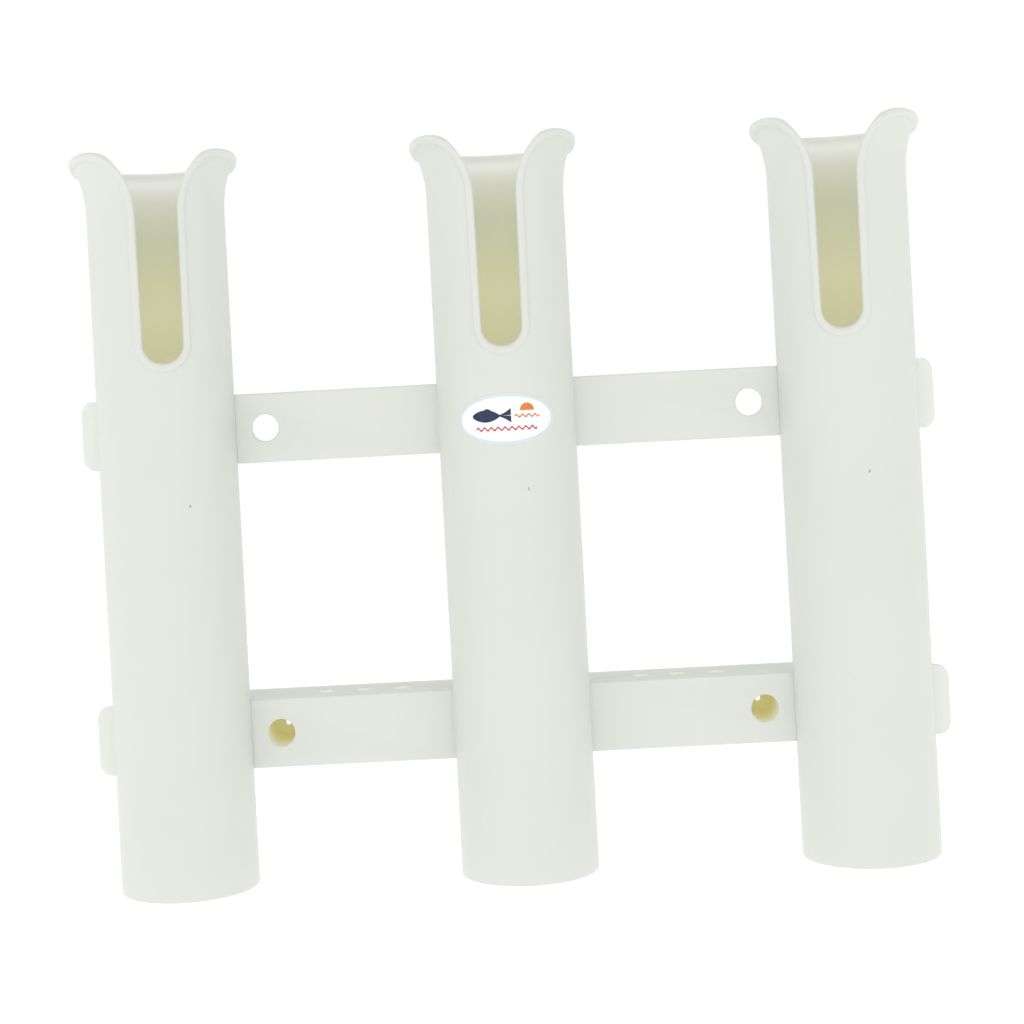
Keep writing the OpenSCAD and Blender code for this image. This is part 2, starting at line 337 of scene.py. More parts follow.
def lathe(profile, n, x, z, along="y", y=0.0):
    """A closed solid of revolution from (radius, position) pairs, on an axis along Y at
    x, z, or along Z at x, y."""
    bm = bmesh.new()
    rings = []
    for r, d in profile:
        circle = [(r * math.cos(2 * math.pi * k / n), r * math.sin(2 * math.pi * k / n)) for k in range(n)]
        if along == "y":
            rings.append([bm.verts.new((x + u, d, z + v)) for u, v in circle])
        else:
            rings.append([bm.verts.new((x + u, y + v, d)) for u, v in circle])
    for low, high in zip(rings, rings[1:]):
        for k in range(n):
            bm.faces.new((low[k - 1], low[k], high[k], high[k - 1]))
    bm.faces.new(rings[0])
    bm.faces.new(rings[-1])
    return mesh_from(bm, "solid")


def combine(name, base, added, removed):
    """The base solid with others joined to it and others cut from it, as one clean mesh."""
    obj = link(name, base)
    groups = []
    for operation, solids in (("UNION", added), ("DIFFERENCE", removed)):
        for k, solid in enumerate(solids):
            other = link(f"{name}_{operation}_{k}", solid)
            groups.append(other)
            mod = obj.modifiers.new(operation, "BOOLEAN")
            mod.operation = operation
            mod.solver = "EXACT"
            mod.object = other
    bpy.context.view_layer.update()
    shown = obj.evaluated_get(bpy.context.evaluated_depsgraph_get())
    made = bpy.data.meshes.new_from_object(shown)
    made.name = name
    obj.modifiers.clear()
    obj.data = made
    for other in groups:
        bpy.data.objects.remove(other)
    made.shade_smooth()
    made.set_sharp_from_angle(angle=math.radians(33))
    weigh = obj.modifiers.new("weighted_normals", "WEIGHTED_NORMAL")
    weigh.keep_sharp = True
    weigh.weight = 100
    return obj


# ------------------------------------------------------------------ rails

RAIL_HALF_H = 12.7
RAIL_HALF_LEN = 156.1
BOX_HALF_LEN = 151.5
TAB_X = 150.0                # the thin tabs lie beyond this
TAB_ROOT = 140.0             # where their plates start, inside the channel's front
TAB_R = 4.0
PLATE_T = 3.0
FLANGE_T = 2.6
RIB_T = 2.0
CORNER_R = 0.8
SADDLE_R = TUBE_R + 0.04
MOUNT_X = holes["spacing_x_mm"] / 2
MOUNT_R = holes["hole_r_mm"]
MOUNT_SEAT_T = 2.4           # web behind the screw heads in the lower mounting holes
SEAT_HOLE_R = 1.0
HOLE_EDGE_R = 0.5            # rounding of the mounting holes' rims
HOOK_EDGE_R = 0.3            # rounding of the hook holes' rims
BOSS_WALL = 3.0
HOOK_X = 58.7
HOOK_PITCH = 13.7
HOOK_Y = 13.5
HOOK_R = 3.5
UPPER_RIBS = [MOUNT_X - 9.0 - 17.4 * k for k in range(3)]
LOWER_RIBS = [HOOK_X + HOOK_PITCH * k for k in (-1.5, -0.5, 0.5, 1.5)]
LOWER_HOOKS = [HOOK_X + HOOK_PITCH * k for k in (-1, 0, 1)]
POST_R = 7.0
POST_Y = 12.0
LUG_POCKET_R = 4.9
SCREW_HOLE_R = 2.0
HEAD_POCKET_R = 3.9
SEAT_Y = BACK_Y - 2.8        # where the screws' heads sit
LUG_POCKET_END = SEAT_Y - 3.4


def channel_outline():
    """The rail's section in Y and Z: front plate and two flanges, open at the back, with
    rounded outer corners and filleted inner ones."""
    h, inner, r = RAIL_HALF_H, RAIL_HALF_H - FLANGE_T, CORNER_R
    return ([(BACK_Y, h)] + arc(r, h - r, r, 90, 180, 4) + arc(r, -h + r, r, 180, 270, 4)
            + [(BACK_Y, -h), (BACK_Y, -inner)] + arc(PLATE_T + r, -inner + r, r, 270, 180, 4)
            + arc(PLATE_T + r, inner - r, r, 180, 90, 4) + [(BACK_Y, inner)])


def saddle_outline(x):
    """Half ring behind a tube, in X and Y."""
    outer = SADDLE_R + FLANGE_T
    reach = math.degrees(math.asin((1.5 - AXIS_Y) / outer))
    return (arc(x, AXIS_Y, outer, reach, 180 - reach, 40)
            + arc(x, AXIS_Y, SADDLE_R - 0.6, 180 - reach, reach, 40))


def end_tab(side):
    """Thin plate with rounded corners at the rail's left (-1) or right (1) end."""
    x0, x1 = sorted((side * TAB_ROOT, side * RAIL_HALF_LEN))
    outline = rounded(x0, x1, -RAIL_HALF_H + 0.01, RAIL_HALF_H - 0.01, TAB_R)
    return prism(outline, 0.01, PLATE_T, "y", 0.7)


def end_wall(side):
    """Wall that closes the channel's left (-1) or right (1) end."""
    x0, x1 = sorted((side * (BOX_HALF_LEN - FLANGE_T), side * (BOX_HALF_LEN - 0.02)))
    outline = rounded(x0, x1, 1.0, BACK_Y - 0.02, 0.5, 3)
    return prism(outline, -RAIL_HALF_H + 0.02, RAIL_HALF_H - 0.02, "z", 0.3)


def rib(x):
    """Cross wall inside the channel."""
    outline = rounded(x - RIB_T / 2, x + RIB_T / 2, 1.0, BACK_Y - 0.05, 0.4, 3)
    return prism(outline, -RAIL_HALF_H + 1, RAIL_HALF_H - 1, "z")


def mount_boss(x):
    """Sleeve round a lower mounting hole, behind the front plate."""
    r = MOUNT_R + BOSS_WALL
    profile = [(r, 1.0), (r, BACK_Y - 0.5), (r - 0.15, BACK_Y - 0.15), (r - 0.5, BACK_Y - 0.03)]
    return lathe(profile, 48, x, 0)


def mount_cut(x, end):
    """Mounting hole with a rounded rim, from the front to end."""
    e = HOLE_EDGE_R
    turns = np.radians([0, 22, 45, 68, 90])
    rim = [(MOUNT_R + e * (1 - math.sin(t)), e * (1 - math.cos(t))) for t in turns]
    return lathe([(MOUNT_R + e, -3.0)] + rim + [(MOUNT_R, end)], 56, x, 0)


def seat_cut(x):
    """Pilot hole through the web behind a lower mounting hole."""
    wide = SEAT_HOLE_R + 0.3
    profile = [(SEAT_HOLE_R, 5.0), (SEAT_HOLE_R, BACK_Y - 0.3), (wide, BACK_Y - 0.02), (wide, BACK_Y + 3)]
    return lathe(profile, 36, x, 0)


def hook_cut(x):
    """Small hole with a rounded rim, down through the lower rail's shelf."""
    h, e = RAIL_HALF_H, HOOK_EDGE_R
    turns = np.radians([0, 30, 60, 90])
    rim = [(HOOK_R + e * (1 - math.sin(t)), h - e * (1 - math.cos(t))) for t in turns]
    profile = [(HOOK_R + e, h + 3)] + rim + [(HOOK_R, h - FLANGE_T - 0.8)]
    return lathe(profile, 40, x, 0, "z", HOOK_Y)


def screw_post(x):
    """Round post behind a tube that takes one screw."""
    r = POST_R
    profile = [(r, POST_Y), (r, BACK_Y - 0.5), (r - 0.15, BACK_Y - 0.15), (r - 0.5, BACK_Y - 0.04)]
    return lathe(profile, 44, x, 0)


def lug_pocket(x):
    """Recess in a screw post for the tube's lug."""
    return lathe([(LUG_POCKET_R, -1.0), (LUG_POCKET_R, LUG_POCKET_END)], 36, x, 0)


def screw_cut(x):
    """Clearance hole and head recess of a screw."""
    wide = HEAD_POCKET_R + 0.3
    return lathe([(SCREW_HOLE_R, 5.0), (SCREW_HOLE_R, SEAT_Y), (HEAD_POCKET_R, SEAT_Y),
                  (HEAD_POCKET_R, BACK_Y - 0.4), (wide, BACK_Y - 0.02), (wide, BACK_Y + 3)], 36, x, 0)


def make_rail(name, ribs, seated, hooks):
    """A rail moulding at z = 0: channel, end tabs, ribs, saddles and screw posts, with all
    its holes cut. seated is for a rail whose mounting holes end in a web at the back."""
    h = RAIL_HALF_H
    added, removed = [], []
    for side in (-1, 1):
        added += [end_tab(side), end_wall(side)] + [rib(side * x) for x in ribs]
        if seated:
            added.append(mount_boss(side * MOUNT_X))
            removed.append(mount_cut(side * MOUNT_X, BACK_Y - MOUNT_SEAT_T))
            removed.append(seat_cut(side * MOUNT_X))
        else:
            removed.append(mount_cut(side * MOUNT_X, BACK_Y + 3))
        removed += [hook_cut(side * x) for x in hooks]
    for x in TUBES.values():
        added.append(prism(saddle_outline(x), -h + 1, h - 1, "z"))
        removed.append(lathe([(SADDLE_R, -h - 3), (SADDLE_R, h + 3)], 128, x, 0, "z", AXIS_Y))
        for px in (x - LUG_X, x + LUG_X):
            added.append(screw_post(px))
            removed += [lug_pocket(px), screw_cut(px)]
    channel = prism(channel_outline(), -BOX_HALF_LEN, BOX_HALF_LEN, "x")
    return combine(name, channel, added, removed)


# ------------------------------------------------------------------ screws

HEAD_R = 3.4
HEAD_H = 2.3
SHANK_R = 1.75
SHANK_LEN = 10.0
THREAD_PITCH = 1.3


def threaded_shank():
    """Self-tapping thread: the shank's radius follows a helix and dies out at the point."""
    bm = bmesh.new()
    around, along = 28, 96
    overlap = 0.6
    rings = []
    for j in range(along + 1):
        d = (SHANK_LEN + overlap) * (1 - j / along)
        taper = min(1.0, 0.3 + 0.7 * d / 1.6)
        ring = []
        for k in range(around):
            t = 2 * math.pi * k / around
            phase = (d / THREAD_PITCH + t / (2 * math.pi)) % 1.0
            crest = max(0.0, 1.0 - abs(phase - 0.5) / 0.22)
            r = taper * (SHANK_R - 0.42 + 0.42 * crest)
            ring.append(bm.verts.new((r * math.cos(t), SEAT_Y - SHANK_LEN + d, r * math.sin(t))))
        rings.append(ring)
    for low, high in zip(rings, rings[1:]):
        for k in range(around):
            bm.faces.new((low[k - 1], low[k], high[k], high[k - 1]))
    bm.faces.new(rings[0])
    bm.faces.new(rings[-1])
    return mesh_from(bm, "shank")


def recess_wing(turn):
    """One tapered bar of the cross recess."""
    bm = bmesh.new()
    top = SEAT_Y + HEAD_H + 0.5
    corners = []
    for y, half, wide in ((top, 2.1, 0.52), (SEAT_Y + HEAD_H - 1.35, 0.7, 0.3)):
        corners.append([bm.verts.new(Matrix.Rotation(turn, 3, "Y") @ Vector((sx * half, y, sz * wide)))
                        for sx, sz in ((-1, -1), (1, -1), (1, 1), (-1, 1))])
    near, far = corners
    bm.faces.new(near)
    bm.faces.new(far)
    for k in range(4):
        bm.faces.new((near[k - 1], near[k], far[k], far[k - 1]))
    return mesh_from(bm, "recess")


def screw_mesh():
    """Pan head with a cross recess, on a threaded shank."""
    dome = [(HEAD_R - 0.12, SEAT_Y), (HEAD_R, SEAT_Y + 0.12), (HEAD_R, SEAT_Y + 0.7)]
    for t in np.radians([12, 24, 36, 50, 64, 78, 90]):
        dome.append((HEAD_R - 1.5 * (1 - math.cos(t)), SEAT_Y + 0.7 + (HEAD_H - 0.7) * math.sin(t)))
    head = lathe(dome, 48, 0, 0)
    wings = [recess_wing(0.0), recess_wing(math.pi / 2)]
    obj = combine("screw", head, [threaded_shank()], wings)
    mesh = obj.data
    bpy.data.objects.remove(obj)
    return mesh


def screw_pair(name, mesh, x, z):
    """The two screws behind one tube, in one rail."""
    bm = bmesh.new()
    for side in (-1, 1):
        first = len(bm.verts)
        bm.from_mesh(mesh)
        bm.verts.ensure_lookup_table()
        mine = bm.verts[first:]
        spin = Matrix.Rotation(0.7 * side + 0.011 * x + 0.02 * z, 3, "Y")
        bmesh.ops.rotate(bm, cent=(0, 0, 0), matrix=spin, verts=mine)
        bmesh.ops.translate(bm, vec=Vector((x + side * LUG_X, 0, z)) * MM, verts=mine)
    pair = bpy.data.meshes.new(name)
    bm.to_mesh(pair)
    bm.free()
    pair.shade_smooth()
    pair.set_sharp_from_angle(angle=math.radians(33))
    return link(name, pair)


# ------------------------------------------------------------------ label

LABEL_Z = (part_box("label")[0][2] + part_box("label")[1][2]) / 2 / MM
LABEL_W = (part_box("label")[1][0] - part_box("label")[0][0]) / MM
LABEL_H = (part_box("label")[1][2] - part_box("label")[0][2]) / MM
FILM_R = TUBE_R + 0.03
FILM_T = 0.2
FILM_RIM = 1.25
INK_T = 0.02


def on_tube(u, v, r):
    """A point at width u and height v from the label's middle, on a cylinder round the tube."""
    a = u / TUBE_R
    return (r * math.sin(a), AXIS_Y - r * math.cos(a), LABEL_Z + v)


def label_film():
    """Oval film wrapped round the tube. Its clear border (material 1) is thinner than the
    white printed middle, and its cut edge is rounded."""
    half_u = TUBE_R * math.asin(LABEL_W / 2 / TUBE_R) - 0.05
    half_v = LABEL_H / 2 - 0.02
    inner = 1.0 - FILM_RIM / half_v
    levels = [(0.0, FILM_T)] + [(inner * k / 9, FILM_T) for k in range(1, 10)]
    levels += [(inner + 0.012, FILM_T - 0.03), (inner + 0.03, FILM_T - 0.05), (0.95, FILM_T - 0.05),
               (0.985, FILM_T - 0.07), (1.0, FILM_T - 0.12), (1.0, 0.0)]
    n = 120
    bm = bmesh.new()
    middle = bm.verts.new(on_tube(0, 0, FILM_R + FILM_T))
    rings = []
    inner_pull = 1.0 - (1.0 - inner) * half_v / half_u
    for scale, lift in levels[1:]:
        if scale > inner - 0.001:
            pull = 1.0 - (1.0 - scale) * half_v / half_u
        else:
            pull = scale * inner_pull / inner
        ring = []
        for k in range(n):
            t = 2 * math.pi * k / n
            point = on_tube(half_u * pull * math.cos(t), half_v * scale * math.sin(t), FILM_R + lift)
            ring.append(bm.verts.new(point))
        rings.append(ring)
    for k in range(n):
        bm.faces.new((middle, rings[0][k - 1], rings[0][k]))
    for j, (low, high) in enumerate(zip(rings, rings[1:])):
        for k in range(n):
            face = bm.faces.new((low[k - 1], high[k - 1], high[k], low[k]))
            face.material_index = 1 if j >= 8 else 0
    turns = [2 * math.pi * k / n for k in range(n)]
    around = [(half_u * math.cos(t), half_v * math.sin(t)) for t in turns]
    back = [[bm.verts.new(on_tube(u * s, v * s, FILM_R)) for u, v in around] for s in (0.8, 0.6, 0.4, 0.2)]
    back_middle = bm.verts.new(on_tube(0, 0, FILM_R))
    for low, high in zip([rings[-1]] + back, back):
        for k in range(n):
            bm.faces.new((low[k - 1], high[k - 1], high[k], low[k]))
    for k in range(n):
        bm.faces.new((back_middle, back[-1][k], back[-1][k - 1]))
    return bm


def add_ink(bm, index, u0, u1, low, high, n):
    """A printed shape between two curves low(t) and high(t), for t from 0 at u0 to 1 at u1."""
    r0, r1 = FILM_R + FILM_T - 0.03, FILM_R + FILM_T + INK_T
    columns = []
    for k in range(n + 1):
        t = k / n
        u = u0 + (u1 - u0) * t
        columns.append([bm.verts.new(on_tube(u, v, r)) for v, r in
                        ((low(t), r0), (low(t), r1), (high(t), r1), (high(t), r0))])
    for a, b in zip(columns, columns[1:]):
        for k in range(4):
            bm.faces.new((a[k - 1], a[k], b[k], b[k - 1])).material_index = index
    bm.faces.new(columns[0]).material_index = index
    bm.faces.new(columns[-1][::-1]).material_index = index


def fish_body(t):
    """Half the fish's height along its body."""
    return 0.12 + 2.05 * math.sin(math.pi * min(1.0, t * 0.97 + 0.02)) ** 0.72


def make_label():
    """Film with a plain printed picture: a fish, the sun over small waves and a wavy line."""
    bm = label_film()
    navy, orange, red = 2, 3, 4
    middle = 1.2
    add_ink(bm, navy, -12.2, -2.4, lambda t: middle - fish_body(t), lambda t: middle + fish_body(t), 40)
    for side in (-1, 1):
        edges = sorted((side * 0.05, side * 1.0))
        add_ink(bm, navy, -2.75, 1.7, lambda t, e=edges: middle + e[0] * (0.25 + 2.3 * t ** 1.5) - 0.02,
                lambda t, e=edges: middle + e[1] * (0.25 + 2.3 * t ** 1.5) + 0.02, 14)
    add_ink(bm, navy, -8.2, -5.0, lambda t: middle + 1.6,
            lambda t: middle + 1.7 + 4.4 * t * (1 - t) * (1 - 0.4 * t), 12)
    sun_r = 2.6
    add_ink(bm, orange, 7.5 - sun_r, 7.5 + sun_r, lambda t: 2.75,
            lambda t: 2.8 + sun_r * math.sqrt(max(0.0, 1 - (2 * t - 1) ** 2)), 30)
    add_ink(bm, orange, 2.9, 12.1, lambda t: 0.55 + 0.42 * math.sin(2 * math.pi * 4 * t),
            lambda t: 1.2 + 0.42 * math.sin(2 * math.pi * 4 * t), 64)
    add_ink(bm, red, -11.0, 11.0, lambda t: -3.75 + 0.5 * math.sin(2 * math.pi * 9 * t),
            lambda t: -3.05 + 0.5 * math.sin(2 * math.pi * 9 * t), 150)
    mesh = mesh_from(bm, "label_film")
    mesh.shade_smooth()
    mesh.set_sharp_from_angle(angle=math.radians(40))
    return link("label_film", mesh)


# ------------------------------------------------------------------ gate marks

GATE_X = 6.6
GATE_Z = 30.0
GATE_HALF_W = 0.34
GATE_HALF_H = 0.68


def make_gate(name, x, lean):
    """The small torn scar that the injection gate leaves on a tube's front."""
    bm = bmesh.new()
    n = 24
    rings = []
    for scale, lift in ((1.0, -0.05), (0.92, 0.05), (0.75, 0.13), (0.55, 0.12), (0.35, 0.02), (0.12, -0.02)):
        ring = []
        for k in range(n):
            t = 2 * math.pi * k / n
            ragged = 1.0 + 0.10 * math.sin(3 * t + lean * 5) + 0.06 * math.sin(7 * t + lean * 9)
            u = GATE_HALF_W * scale * ragged * math.cos(t)
            v = GATE_HALF_H * scale * ragged * math.sin(t)
            a = math.asin(GATE_X / TUBE_R) + (u + v * lean) / TUBE_R
            r = TUBE_R + lift * (1.0 + 0.25 * math.sin(5 * t))
            ring.append(bm.verts.new((r * math.sin(a), -r * math.cos(a), v)))
        rings.append(ring)
    for low, high in zip(rings, rings[1:]):
        for k in range(n):
            bm.faces.new((low[k - 1], low[k], high[k], high[k - 1]))
    bm.faces.new(rings[0])
    bm.faces.new(rings[-1])
    turn = Matrix.Rotation(mouth_turn(x), 3, "Z")
    bmesh.ops.rotate(bm, cent=(0, 0, 0), matrix=turn, verts=bm.verts[:])
    bmesh.ops.translate(bm, vec=(x, AXIS_Y, GATE_Z), verts=bm.verts[:])
    mesh = mesh_from(bm, name)
    mesh.shade_smooth()
    return link(name, mesh)


# ------------------------------------------------------------------ materials

class Nodes:
    """Short names for the few node patterns that the materials share."""

    def __init__(self, name):
        self.mat = bpy.data.materials.new(name)
        self.mat.use_nodes = True
        self.tree = self.mat.node_tree
        self.bsdf = self.tree.nodes["Principled BSDF"]
        self.where = self.tree.nodes.new("ShaderNodeTexCoord").outputs["Object"]

    def put(self, kind, links, **values):
        node = self.tree.nodes.new(kind)
        for key, value in values.items():
            setattr(node, key, value)
        for socket, value in links.items():
            if isinstance(value, bpy.types.NodeSocket):
                self.tree.links.new(value, node.inputs[socket])
            else:
                node.inputs[socket].default_value = value
        return node

    def noise(self, scale, detail=3.0, stretch=(1, 1, 1), rough=0.5):
        place = self.put("ShaderNodeMapping", {"Vector": self.where, "Scale": stretch})
        node = self.put("ShaderNodeTexNoise", {"Vector": place.outputs[0], "Scale": scale, "Detail": detail,
                                               "Roughness": rough})
        return node.outputs["Fac"]

    def ramp(self, value, low, high, out_low, out_high):
        node = self.put("ShaderNodeMapRange", {"Value": value, "From Min": low, "From Max": high,
                                               "To Min": out_low, "To Max": out_high})
        return node.outputs["Result"]

    def along(self, value, low, high, stops):
        """Colours (share of the way, colour) passed one after the other from low to high."""
        node = self.put("ShaderNodeValToRGB", {"Fac": self.ramp(value, low, high, 0.0, 1.0)})
        places = node.color_ramp.elements
        places[0].position, places[0].color = stops[0]
        places[1].position, places[1].color = stops[-1]
        for share, color in stops[1:-1]:
            places.new(share).color = color
        return node.outputs["Color"]

    def mix(self, amount, first, second):
        node = self.tree.nodes.new("ShaderNodeMix")
        node.data_type = "RGBA"
        for socket, value in ((node.inputs[0], amount), (node.inputs[6], first), (node.inputs[7], second)):
            if isinstance(value, bpy.types.NodeSocket):
                self.tree.links.new(value, socket)
            else:
                socket.default_value = value
        return node.outputs[2]

    def math(self, operation, first, second):
        return self.put("ShaderNodeMath", {0: first, 1: second}, operation=operation).outputs[0]

    def bump(self, height, strength, distance, below=None):
        links = {"Height": height, "Strength": strength, "Distance": distance}
        if below is not None:
            links["Normal"] = below
        return self.put("ShaderNodeBump", links).outputs["Normal"]

    def pointiness(self, low, high):
        """0 to 1 across the sharpness of the surface: high on edges, low in corners."""
        geo = self.tree.nodes.new("ShaderNodeNewGeometry")
        return self.ramp(geo.outputs["Pointiness"], low, high, 0.0, 1.0)

    def finish(self, color=None, rough=None, normal=None):
        for socket, value in (("Base Color", color), ("Roughness", rough), ("Normal", normal)):
            if value is not None:
                self.tree.links.new(value, self.bsdf.inputs[socket])
        return self.mat


WHITE_TINT = (0.735, 0.757, 0.702, 1)
WARM_TINT = (0.715, 0.735, 0.672, 1)


def moulded_plastic(name, deep=None, thin=None):
    """Satin off-white polypropylene: a fine moulded grain, faint flow marks and haze, rubbed
    edges, painted shade in concave corners, and light scuffs. deep is (axis, start, end, tints,
    glows): along that stretch of a bore or a hole the plastic takes on the tints, which are painted
    light and shade, and a painted glow for the light that bounces inside and comes through its
    walls. thin is (tint, glow): a lighter painted tint and a painted glow for a thin plate that passes some
    light."""
    n = Nodes(name)
    n.bsdf.inputs["IOR"].default_value = 1.49
    clouds = n.ramp(n.noise(22.0, 4.0), 0.35, 0.65, 0.0, 1.0)
    color = n.mix(n.math("MULTIPLY", clouds, 0.5), WHITE_TINT, WARM_TINT)
    flow = n.ramp(n.noise(9.0, 5.0, (6.0, 6.0, 0.7)), 0.52, 0.72, 0.0, 0.35)
    color = n.mix(flow, color, (0.755, 0.768, 0.715, 1))
    edge = n.pointiness(0.52, 0.60)
    color = n.mix(n.math("MULTIPLY", edge, 0.35), color, (0.79, 0.80, 0.765, 1))
    # painted shade: concave corners are darkened and yellowed
    painted_corner_shade = n.pointiness(0.47, 0.40)
    color = n.mix(n.math("MULTIPLY", painted_corner_shade, 0.30), color, (0.60, 0.60, 0.52, 1))
    specks = n.ramp(n.noise(520.0, 2.0), 0.74, 0.80, 0.0, 0.22)
    color = n.mix(specks, color, (0.52, 0.50, 0.43, 1))
    glowing = n.bsdf.inputs["Emission Color"]
    # painted light: a lighter tint and a painted glow for a thin plate
    if thin is not None:
        tint, glowing.default_value = thin
    # painted light and shade: tints and a painted glow graded by depth in a bore or hole
    if deep is not None:
        axis, start, end, tints, glows = deep
        depth = n.put("ShaderNodeSeparateXYZ", {"Vector": n.where}).outputs[axis]
        tint = n.along(depth, start, end, tints)
        n.tree.links.new(n.along(depth, start, end, glows), glowing)
    if thin is not None or deep is not None:
        color = n.mix(n.ramp(clouds, 0.0, 1.0, 0.97, 1.0), color, tint)
        n.bsdf.inputs["Emission Strength"].default_value = 1.0
    scuffs = n.ramp(n.noise(260.0, 3.0, (1.0, 1.0, 0.05)), 0.63, 0.72, 0.0, 0.16)
    rough = n.math("ADD", n.ramp(n.noise(70.0, 4.0), 0.3, 0.7, 0.36, 0.46), scuffs)
    rough = n.math("SUBTRACT", rough, n.math("MULTIPLY", edge, 0.08))
    waves = n.bump(n.noise(38.0, 1.0), 0.25, 0.0002)
    grain = n.bump(n.noise(2600.0, 2.0), 0.22, 0.00002, waves)
    normal = n.bump(scuffs, 0.15, 0.00002, grain)
    return n.finish(color, rough, normal)


def gate_painted_shade():
    """Stretched plastic of the gate scar, darkened with painted shade in blots that stand in for the shadow
    of the gate's pit.
    """
    n = Nodes("gate_scar")
    # painted shade: dark blots
    shade_blots = n.ramp(n.noise(1400.0, 4.0), 0.35, 0.6, 0.0, 1.0)
    color = n.mix(shade_blots, (0.36, 0.36, 0.30, 1), (0.58, 0.59, 0.52, 1))
    rough = n.ramp(n.noise(2500.0, 2.0), 0.3, 0.7, 0.55, 0.75)
    return n.finish(color, rough, n.bump(n.noise(3500.0, 3.0), 0.6, 0.00006))


def steel():
    """Plain stainless steel: turned and tumbled, darker in its recesses."""
    n = Nodes("stainless_steel")
    n.bsdf.inputs["Metallic"].default_value = 1.0
    clouds = n.noise(350.0, 4.0)
    color = n.mix(clouds, (0.54, 0.54, 0.55, 1), (0.68, 0.68, 0.69, 1))
    color = n.mix(n.math("MULTIPLY", n.pointiness(0.47, 0.38), 0.8), color, (0.14, 0.13, 0.11, 1))
    color = n.mix(n.math("MULTIPLY", n.pointiness(0.54, 0.66), 0.6), color, (0.82, 0.82, 0.83, 1))
    rough = n.ramp(n.noise(900.0, 5.0), 0.3, 0.7, 0.22, 0.42)
    lines = n.noise(700.0, 4.0, (1.0, 14.0, 1.0))
    return n.finish(color, rough, n.bump(lines, 0.3, 0.00003))


def film(name, first, second, rough_low, rough_high):
    """Gloss vinyl or the ink on it: two close shades, orange peel and small rubs."""
    n = Nodes(name)
    n.bsdf.inputs["IOR"].default_value = 1.45
    color = n.mix(n.ramp(n.noise(420.0, 4.0), 0.35, 0.65, 0.0, 1.0), first, second)
    rubs = n.ramp(n.noise(600.0, 3.0, (0.12, 1.0, 1.0)), 0.6, 0.72, 0.0, 0.15)
    rough = n.math("ADD", n.ramp(n.noise(900.0, 3.0), 0.3, 0.7, rough_low, rough_high), rubs)
    return n.finish(color, rough, n.bump(n.noise(1300.0, 2.0), 0.15, 0.00002))


# ------------------------------------------------------------------ pieces

def piece(obj, slot, *nodes):
    """Gives an object its body and hides the CAD nodes that it stands for. slot is not used."""
    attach(obj, "root")
    if nodes:
        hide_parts(*nodes)


def is_bore(x, centre, normal):
    """Whether a face of a tube's mesh belongs to its inside."""
    out = Vector((centre.x / MM - x, centre.y / MM - AXIS_Y))
    inward = -(out.normalized().dot(Vector((normal.x, normal.y))))
    limit = float(inner_r(0.5, centre.z / MM - FOOT_Z)) + 0.4
    inside = out.length < limit and centre.z / MM > FOOT_Z + FLOOR_T - 0.1
    return inside and (inward > 0.3 or normal.z > 0.7)


def rail_part(face, z):
    """Material of a rail's face: 1 in a mounting hole, 2 in a hook hole, 3 on the thin tabs
    at its ends, 0 elsewhere."""
    slack = 0.05
    centre = face.center / MM
    up = centre.z - z
    wall = abs(face.normal.y) < 0.5 or centre.y > BACK_Y - MOUNT_SEAT_T - 2 * slack
    inside = FRONT_Y + 2 * slack < centre.y < BACK_Y - slack
    if wall and inside and math.hypot(abs(centre.x) - MOUNT_X, up) < MOUNT_R + slack:
        return 1
    if abs(centre.x) > TAB_X and centre.y < FRONT_Y + PLATE_T + 2 * slack:
        return 3
    for x in LOWER_HOOKS:
        reach = math.hypot(abs(centre.x) - x, centre.y - HOOK_Y)
        if reach < HOOK_R + slack and RAIL_HALF_H - FLANGE_T < up < RAIL_HALF_H - slack:
            return 2
    return 0


def bore_light_and_shade():
    """Painted light and shade down a bore: light and neutral at the rim, a painted highlight just below it,
    greyer painted shade below that, and warm with a painted glow further down.
    """
    top = (FOOT_Z + TUBE_H) * MM
    tints = [(0.0, (0.76, 0.78, 0.73, 1)), (0.06, (0.91, 0.91, 0.90, 1)), (0.20, (0.80, 0.815, 0.72, 1)),
             (0.45, (0.78, 0.80, 0.64, 1)), (1.0, (0.93, 0.92, 0.66, 1))]
    glows = [(0.0, (0.022, 0.022, 0.018, 1)), (0.07, (0.06, 0.06, 0.06, 1)), (0.14, (0.03, 0.03, 0.025, 1)),
             (0.40, (0.02, 0.02, 0.02, 1)), (1.0, (0.080, 0.078, 0.080, 1))]
    return 2, top - 0.005, top - 0.057, tints, glows


def hole_light_and_shade():
    """Painted light in a mounting hole: light at its mouth, warm with a painted glow in its depth."""
    tints = [(0.0, (0.80, 0.82, 0.74, 1)), (0.25, (0.86, 0.86, 0.68, 1)), (0.55, (0.90, 0.87, 0.53, 1))]
    glows = [(0.0, (0.085, 0.09, 0.083, 1)), (0.25, (0.09, 0.09, 0.08, 1)), (0.55, (0.089, 0.082, 0.053, 1))]
    return 1, FRONT_Y * MM, BACK_Y * MM, tints, glows


def hook_hole_glow():
    """The hook holes' short walls, with a paler tint and a painted glow for the light that comes from behind
    the shelf.
    """
    shelf = (RAIL_Z["lower_rail"] + RAIL_HALF_H) * MM
    tints = [(0.0, (0.78, 0.80, 0.73, 1)), (1.0, (0.80, 0.82, 0.74, 1))]
    glows = [(0.0, (0.022, 0.022, 0.018, 1)), (0.3, (0.30, 0.30, 0.27, 1))]
    return 2, shelf, shelf - FLANGE_T * MM, tints, glows


# The tabs have nothing behind them, so they pass some light: painted here as a lighter tint and a painted
# glow.
TAB_PAINTED_TINT = (0.80, 0.825, 0.765, 1)
TAB_PAINTED_GLOW = (0.03, 0.031, 0.028, 1)

outer_plastic = moulded_plastic("white_plastic")
